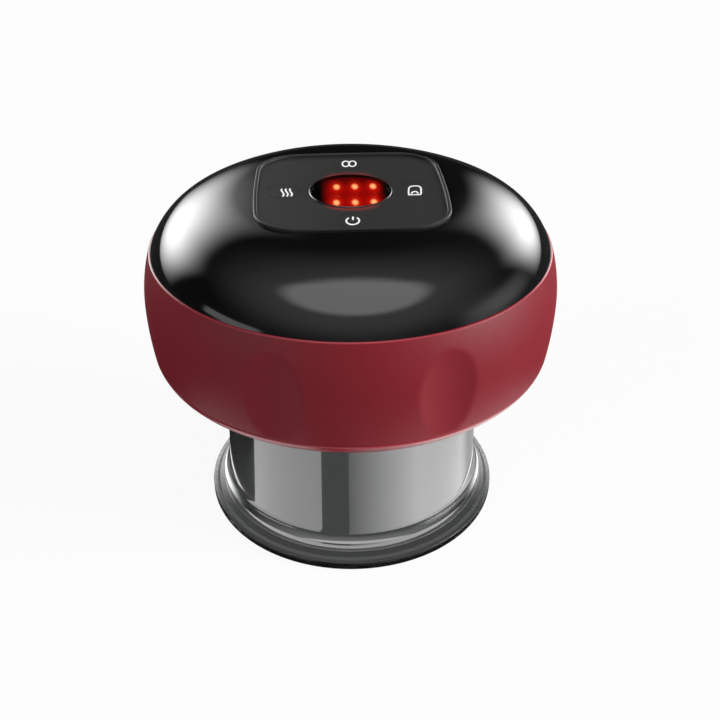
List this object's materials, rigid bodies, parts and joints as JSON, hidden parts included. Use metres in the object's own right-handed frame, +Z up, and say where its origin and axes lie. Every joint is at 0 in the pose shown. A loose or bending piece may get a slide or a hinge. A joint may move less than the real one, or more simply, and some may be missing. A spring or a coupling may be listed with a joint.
{
  "type": "electric cupping massager",
  "caption": "Palm-sized suction massager: round two-tone housing with a key panel and lit window on top, over a clear pull-off suction cup with a flanged rim.",
  "frame": {"origin": "on the object's axis, in the plane of the cup's rim, where it rests on the skin", "axes": "+Z up through the cup and the housing to the key panel; -Y is the front, where the power key is; +X is to the user's right"},
  "size_m": [0.09, 0.09, 0.0764],
  "materials": {
    "red_shell": "soft-touch satin",
    "black_gloss": "high gloss",
    "panel_matte": "fine matte",
    "dark_window": "polished",
    "smoke_plastic": "polished clear",
    "dark_plastic": "moulded",
    "white_plastic": "moulded",
    "clear_guide": "frosted",
    "red_light": "clear resin",
    "circuit_board": "solder mask",
    "chip_black": "moulded resin",
    "silicone": "satin",
    "foam": "open foam",
    "film": "polyimide",
    "plate_aluminium": "brushed",
    "cell_sleeve": "shrink sleeve",
    "steel": "plain",
    "magnet": "nickel plated",
    "brass": "turned"
  },
  "bodies": {
    "housing": {"air_filter": "foam", "battery_cell": "cell_sleeve", "battery_strap": "steel", "board_screws": "steel", "bottom_cover": "red_shell", "charge_board": "circuit_board", "charge_socket": "steel", "charge_tongue": "dark_plastic", "collar_magnets": "magnet", "control_board": "circuit_board", "controller_chip": "chip_black", "cup_collar": "dark_plastic", "cup_seal": "silicone", "display_lens": "dark_window", "filter_cap": "dark_plastic", "frame_screws": "steel", "heater_film": "film", "heater_plate": "plate_aluminium", "hose_tee": "white_plastic", "housing_screws": "steel", "indicator_leds": "red_light", "inner_frame": "white_plastic", "key_panel": "panel_matte", "light_baffle": "dark_plastic", "light_board": "circuit_board", "light_cover": "clear_guide", "light_guides": "clear_guide", "lower_housing": "red_shell", "motor_can": "steel", "motor_end_cap": "dark_plastic", "motor_magnets": "magnet", "nozzle_hose": "silicone", "pump_base": "white_plastic", "pump_diaphragm": "silicone", "pump_head": "white_plastic", "pump_hose": "silicone", "pump_screws": "steel", "pump_strap": "steel", "red_leds": "red_light", "swash_plate": "dark_plastic", "switch_bodies": "dark_plastic", "temperature_sensor": "chip_black", "top_cover": "black_gloss", "valve_body": "chip_black", "valve_hose": "silicone", "valve_spring": "steel"},
    "power_key": {"power_key": "panel_matte", "power_plunger": "white_plastic"},
    "mode_key": {"mode_key": "panel_matte", "mode_plunger": "white_plastic"},
    "heat_key": {"heat_key": "panel_matte", "heat_plunger": "white_plastic"},
    "suction_key": {"suction_key": "panel_matte", "suction_plunger": "white_plastic"},
    "cup": {"cup": "smoke_plastic", "cup_ring": "steel"},
    "rotor": {"motor_armature": "steel", "eccentric": "brass"},
    "release_plunger": {"valve_plunger": "steel"}
  },
  "joints": [
    {"name": "power_press", "type": "slide", "parent": "housing", "child": "power_key", "axis": [0, 0, -1], "range_m": [0, 0.0003], "stiffness_N_per_m": 500, "springref_m": -0.001},
    {"name": "mode_press", "type": "slide", "parent": "housing", "child": "mode_key", "axis": [0, 0, -1], "range_m": [0, 0.0003], "stiffness_N_per_m": 500, "springref_m": -0.001},
    {"name": "heat_press", "type": "slide", "parent": "housing", "child": "heat_key", "axis": [0, 0, -1], "range_m": [0, 0.0003], "stiffness_N_per_m": 500, "springref_m": -0.001},
    {"name": "suction_press", "type": "slide", "parent": "housing", "child": "suction_key", "axis": [0, 0, -1], "range_m": [0, 0.0003], "stiffness_N_per_m": 500, "springref_m": -0.001},
    {"name": "cup_pull", "type": "slide", "parent": "housing", "child": "cup", "axis": [0, 0, -1], "range_m": [0, 0.012]},
    {"name": "rotor_spin", "type": "hinge", "parent": "housing", "child": "rotor", "pos_m": [-0.015, 0.012, 0.05505], "axis": [1, 0, 0], "continuous": true},
    {"name": "valve_lift", "type": "slide", "parent": "housing", "child": "release_plunger", "axis": [0, 0, 1], "range_m": [0, 0.001], "stiffness_N_per_m": 300, "springref_m": -0.002, "deforming": ["valve_spring"]}
  ]
}
